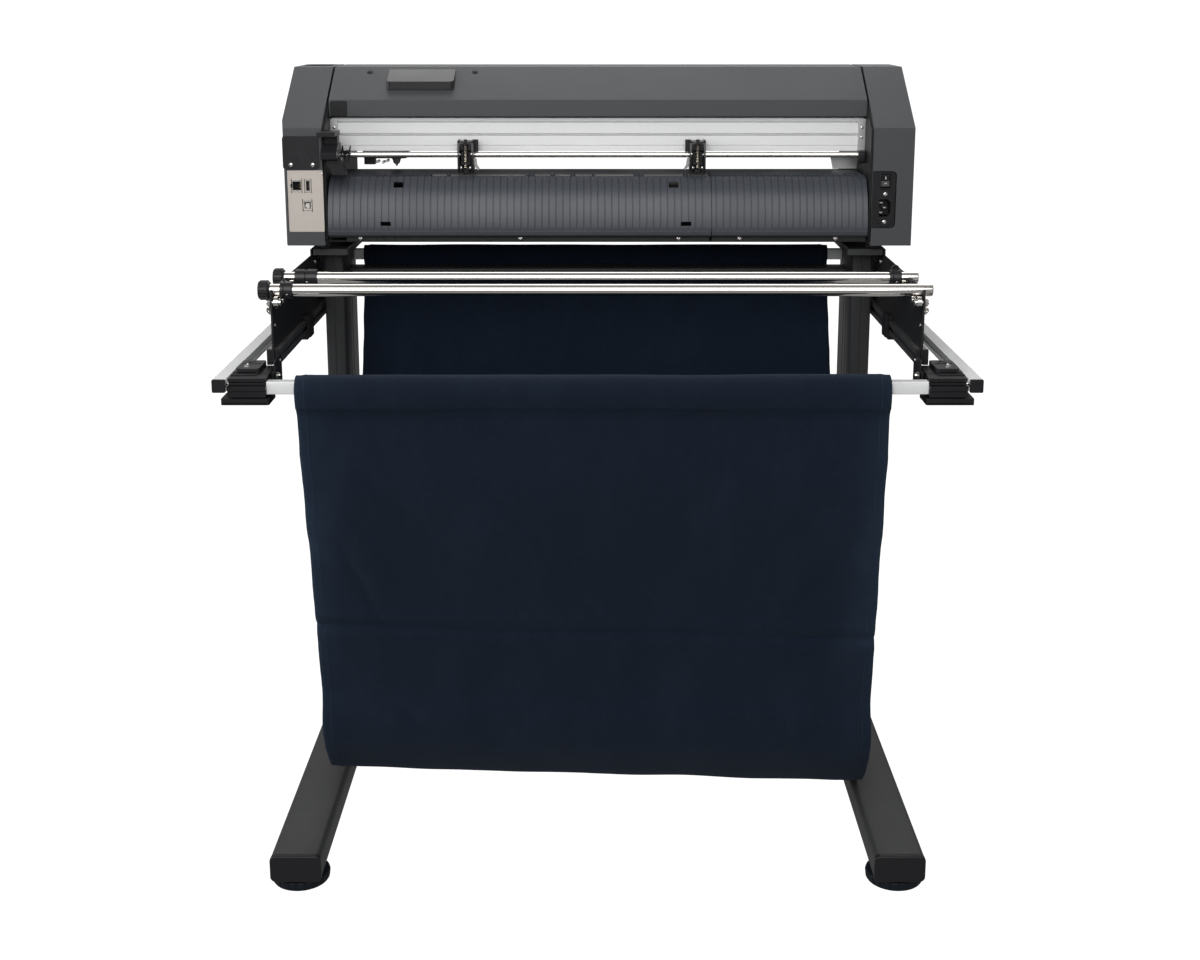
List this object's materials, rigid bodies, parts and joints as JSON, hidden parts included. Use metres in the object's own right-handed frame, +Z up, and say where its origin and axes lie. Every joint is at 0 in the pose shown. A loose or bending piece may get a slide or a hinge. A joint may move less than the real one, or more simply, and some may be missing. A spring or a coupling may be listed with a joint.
{
  "type": "vinyl cutter",
  "caption": "Roll-fed vinyl cutter on a floor stand, with a roller media holder and a canvas catch basket.",
  "frame": {"origin": "on the floor under the middle of the whole machine", "axes": "+X along the cutting beam, -Y towards the roll holder and basket, +Z up"},
  "size_m": [0.952, 0.74, 1.04],
  "materials": {
    "stand_paint": "fine textured black powder coat",
    "foot_plastic": "moulded black",
    "bar_aluminium": "satin silver anodised",
    "plate_paint": "satin black paint",
    "chromed_steel": "bright chrome",
    "black_plastic": "fine moulded grain",
    "basket_canvas": "plain weave navy canvas",
    "cover_paint": "fine textured dark grey",
    "beam_aluminium": "brushed and clear anodised",
    "platen_plastic": "satin blue-black",
    "plain_steel": "plain sheet",
    "motor_black": "satin black",
    "grey_rubber": "dull",
    "board_green": "solder mask"
  },
  "bodies": {
    "root": {"base_leg_left": "stand_paint", "base_leg_right": "stand_paint", "column_left": "stand_paint", "column_right": "stand_paint", "head_bracket_left": "stand_paint", "head_bracket_right": "stand_paint", "stand_cross_tie": "stand_paint", "side_frame_left": "stand_paint", "side_frame_right": "stand_paint", "base_pan": "stand_paint", "basket_rear_bar": "bar_aluminium", "arm_bar_left": "bar_aluminium", "arm_bar_right": "bar_aluminium", "roller_plate_left": "plate_paint", "roller_plate_right": "plate_paint", "power_inlet": "black_plastic", "basket_cloth": "basket_canvas", "end_cover_left": "cover_paint", "end_cover_right": "cover_paint", "top_cover": "cover_paint", "main_beam": "beam_aluminium", "platen_rear_left": "platen_plastic", "platen_rear_right": "platen_plastic", "platen_front": "platen_plastic", "io_panel": "plain_steel", "power_supply": "plain_steel", "feed_motor": "motor_black", "carriage_motor": "motor_black", "carriage_belt": "grey_rubber", "circuit_board": "board_green"},
    "basket_frame": {"slide_block_left": "black_plastic", "slide_block_right": "black_plastic", "outer_rail_left": "bar_aluminium", "outer_rail_right": "bar_aluminium", "basket_front_bar": "bar_aluminium"},
    "foot_rear_left": {"foot_rear_left": "foot_plastic"},
    "foot_front_left": {"foot_front_left": "foot_plastic"},
    "foot_rear_right": {"foot_rear_right": "foot_plastic"},
    "foot_front_right": {"foot_front_right": "foot_plastic"},
    "roller_outer": {"media_roller_outer": "chromed_steel"},
    "roller_inner": {"media_roller_inner": "chromed_steel"},
    "collar_outer_left": {"collar_outer_left": "black_plastic"},
    "collar_inner_left": {"collar_inner_left": "black_plastic"},
    "collar_inner_right": {"collar_inner_right": "black_plastic"},
    "grit_drive": {"grit_shaft": "plain_steel"},
    "lever": {"media_lever": "black_plastic", "lift_shaft": "chromed_steel"},
    "pinch_unit_left": {"pinch_housing_left": "black_plastic"},
    "pinch_fork_left": {"pinch_fork_left": "black_plastic"},
    "pinch_wheel_left": {"pinch_wheel_left": "grey_rubber"},
    "pinch_unit_right": {"pinch_housing_right": "black_plastic"},
    "pinch_fork_right": {"pinch_fork_right": "black_plastic"},
    "pinch_wheel_right": {"pinch_wheel_right": "grey_rubber"},
    "carriage": {"tool_carriage": "black_plastic"},
    "holder": {"blade_holder": "beam_aluminium"},
    "rocker": {"power_rocker": "black_plastic"},
    "key_up": {"key_up": "black_plastic"},
    "key_down": {"key_down": "black_plastic"},
    "key_left": {"key_left": "black_plastic"},
    "key_right": {"key_right": "black_plastic"}
  },
  "joints": [
    {"name": "basket_slide", "type": "slide", "parent": "root", "child": "basket_frame", "axis": [0, 1, 0], "range_m": [0, 0.19], "deforming": ["basket_cloth"]},
    {"name": "foot_rear_left_turn", "type": "hinge", "parent": "root", "child": "foot_rear_left", "pos_m": [-0.392, -0.33, 0.01], "axis": [0, 0, 1], "continuous": true},
    {"name": "foot_front_left_turn", "type": "hinge", "parent": "root", "child": "foot_front_left", "pos_m": [-0.392, 0.33, 0.01], "axis": [0, 0, 1], "continuous": true},
    {"name": "foot_rear_right_turn", "type": "hinge", "parent": "root", "child": "foot_rear_right", "pos_m": [0.392, -0.33, 0.01], "axis": [0, 0, 1], "continuous": true},
    {"name": "foot_front_right_turn", "type": "hinge", "parent": "root", "child": "foot_front_right", "pos_m": [0.392, 0.33, 0.01], "axis": [0, 0, 1], "continuous": true},
    {"name": "roller_outer_spin", "type": "hinge", "parent": "root", "child": "roller_outer", "pos_m": [0, -0.232, 0.772], "axis": [1, 0, 0], "continuous": true},
    {"name": "roller_inner_spin", "type": "hinge", "parent": "root", "child": "roller_inner", "pos_m": [0, -0.135, 0.772], "axis": [1, 0, 0], "continuous": true},
    {"name": "collar_outer_left_slide", "type": "slide", "parent": "roller_outer", "child": "collar_outer_left", "axis": [1, 0, 0], "range_m": [0, 0.3]},
    {"name": "collar_inner_left_slide", "type": "slide", "parent": "roller_inner", "child": "collar_inner_left", "axis": [1, 0, 0], "range_m": [0, 0.3]},
    {"name": "collar_inner_right_slide", "type": "slide", "parent": "roller_inner", "child": "collar_inner_right", "axis": [1, 0, 0], "range_m": [-0.3, 0]},
    {"name": "grit_spin", "type": "hinge", "parent": "root", "child": "grit_drive", "pos_m": [0, 0.08, 0.8785], "axis": [1, 0, 0], "continuous": true},
    {"name": "lever_turn", "type": "hinge", "parent": "root", "child": "lever", "pos_m": [0, 0.084, 0.9165], "axis": [1, 0, 0], "range_deg": [0, 17]},
    {"name": "pinch_unit_left_slide", "type": "slide", "parent": "root", "child": "pinch_unit_left", "axis": [1, 0, 0], "range_m": [-0.15, 0.15]},
    {"name": "pinch_lift_left", "type": "slide", "parent": "pinch_unit_left", "child": "pinch_fork_left", "axis": [0, 0, 1], "range_m": [0, 0.004]},
    {"name": "pinch_wheel_left_spin", "type": "hinge", "parent": "pinch_fork_left", "child": "pinch_wheel_left", "pos_m": [-0.191, 0.08, 0.8959], "axis": [1, 0, 0], "continuous": true},
    {"name": "pinch_unit_right_slide", "type": "slide", "parent": "root", "child": "pinch_unit_right", "axis": [1, 0, 0], "range_m": [-0.13, 0.2]},
    {"name": "pinch_lift_right", "type": "slide", "parent": "pinch_unit_right", "child": "pinch_fork_right", "axis": [0, 0, 1], "range_m": [0, 0.004]},
    {"name": "pinch_wheel_right_spin", "type": "hinge", "parent": "pinch_fork_right", "child": "pinch_wheel_right", "pos_m": [0.144, 0.08, 0.8959], "axis": [1, 0, 0], "continuous": true},
    {"name": "carriage_slide", "type": "slide", "parent": "root", "child": "carriage", "axis": [1, 0, 0], "range_m": [0, 0.63]},
    {"name": "holder_drop", "type": "slide", "parent": "carriage", "child": "holder", "axis": [0, 0, -1], "range_m": [0, 0.0035], "stiffness_N_per_m": 400, "springref_m": -0.001},
    {"name": "power_rocker_turn", "type": "hinge", "parent": "root", "child": "rocker", "pos_m": [0.411, 0.037, 0.8835], "axis": [1, 0, 0], "range_deg": [-14, 0]},
    {"name": "key_up_press", "type": "slide", "parent": "root", "child": "key_up", "axis": [0, -0.5283, -0.8491], "range_m": [0, 0.0015], "stiffness_N_per_m": 300, "springref_m": -0.0005},
    {"name": "key_down_press", "type": "slide", "parent": "root", "child": "key_down", "axis": [0, -0.5283, -0.8491], "range_m": [0, 0.0015], "stiffness_N_per_m": 300, "springref_m": -0.0005},
    {"name": "key_left_press", "type": "slide", "parent": "root", "child": "key_left", "axis": [0, -0.5283, -0.8491], "range_m": [0, 0.0015], "stiffness_N_per_m": 300, "springref_m": -0.0005},
    {"name": "key_right_press", "type": "slide", "parent": "root", "child": "key_right", "axis": [0, -0.5283, -0.8491], "range_m": [0, 0.0015], "stiffness_N_per_m": 300, "springref_m": -0.0005}
  ],
  "couplings": [
    {"joint": "pinch_lift_left", "follows": "lever_turn", "m_per_rad": 0.0127},
    {"joint": "pinch_wheel_left_spin", "follows": "grit_spin", "ratio": -1.4286},
    {"joint": "pinch_lift_right", "follows": "lever_turn", "m_per_rad": 0.0127},
    {"joint": "pinch_wheel_right_spin", "follows": "grit_spin", "ratio": -1.4286}
  ]
}
